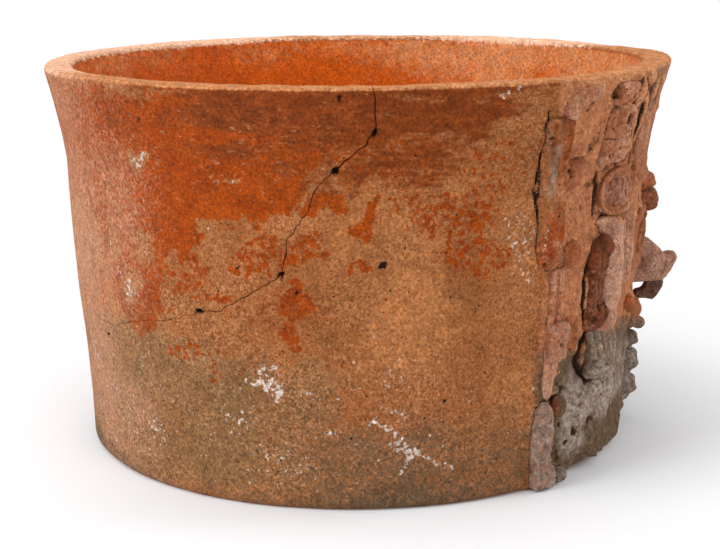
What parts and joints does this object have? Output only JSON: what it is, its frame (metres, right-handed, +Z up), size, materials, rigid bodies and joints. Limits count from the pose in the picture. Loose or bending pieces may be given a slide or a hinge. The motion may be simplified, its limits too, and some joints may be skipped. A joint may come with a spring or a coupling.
{
  "type": "ceramic cache vessel",
  "caption": "Low, thick-walled fired-clay drum with a flared rim and a mask in applied relief on one side.",
  "frame": {"origin": "middle of the underside, on the vessel's axis, where it rests", "axes": "+Z up along the vessel's axis, the mask faces -Y, +X is on the right of someone facing the mask"},
  "size_m": [0.2992, 0.3097, 0.185],
  "materials": {
    "worn_slip": "orange-red slip worn to the fired clay",
    "floor_slip": "burnished orange slip",
    "pink_clay": "bare fired clay, matt",
    "pale_clay": "bare fired clay, pale and matt",
    "dull_clay": "bare fired clay, darkened",
    "ash_clay": "bare fired clay, ashy grey",
    "soot_clay": "bare fired clay, smoke-blackened"
  },
  "bodies": {
    "root": {"base_disc": "floor_slip", "beard_lower": "ash_clay", "beard_tip": "ash_clay", "beard_upper": "ash_clay", "brow_bead": "pink_clay", "brow_knob": "dull_clay", "chin": "soot_clay", "headdress": "pink_clay", "left_cheek": "pale_clay", "left_ear_block": "pink_clay", "left_ear_pad": "pink_clay", "left_ear_pendant": "dull_clay", "left_ear_plug": "dull_clay", "left_ear_rib": "pale_clay", "left_ear_ring": "pink_clay", "left_ear_shield": "pink_clay", "left_ear_tassel": "ash_clay", "left_eye_ball": "dull_clay", "left_eye_rim": "pink_clay", "left_eye_socket": "pink_clay", "left_rim_curl": "pink_clay", "left_strip_arch": "pink_clay", "left_strip_band": "pink_clay", "left_strip_block": "dull_clay", "left_strip_disc": "dull_clay", "left_strip_end_knob": "pink_clay", "left_strip_foot": "pale_clay", "left_strip_knob": "pink_clay", "left_strip_nub": "ash_clay", "left_strip_slab": "worn_slip", "lip": "pink_clay", "nose_bridge": "pink_clay", "right_cheek": "pale_clay", "right_ear_block": "pink_clay", "right_ear_pad": "pink_clay", "right_ear_pendant": "dull_clay", "right_ear_plug": "dull_clay", "right_ear_rib": "pale_clay", "right_ear_ring": "pink_clay", "right_ear_shield": "pink_clay", "right_ear_tassel": "ash_clay", "right_eye_ball": "dull_clay", "right_eye_rim": "pink_clay", "right_eye_socket": "pink_clay", "right_rim_curl": "pink_clay", "right_strip_arch": "pink_clay", "right_strip_band": "pink_clay", "right_strip_block": "dull_clay", "right_strip_disc": "dull_clay", "right_strip_end_knob": "pink_clay", "right_strip_foot": "pale_clay", "right_strip_knob": "pink_clay", "right_strip_nub": "ash_clay", "right_strip_slab": "worn_slip", "rim_sherd": "worn_slip", "snout": "dull_clay", "snout_hook": "soot_clay", "tongue": "soot_clay", "vessel_wall": "worn_slip"}
  },
  "joints": []
}
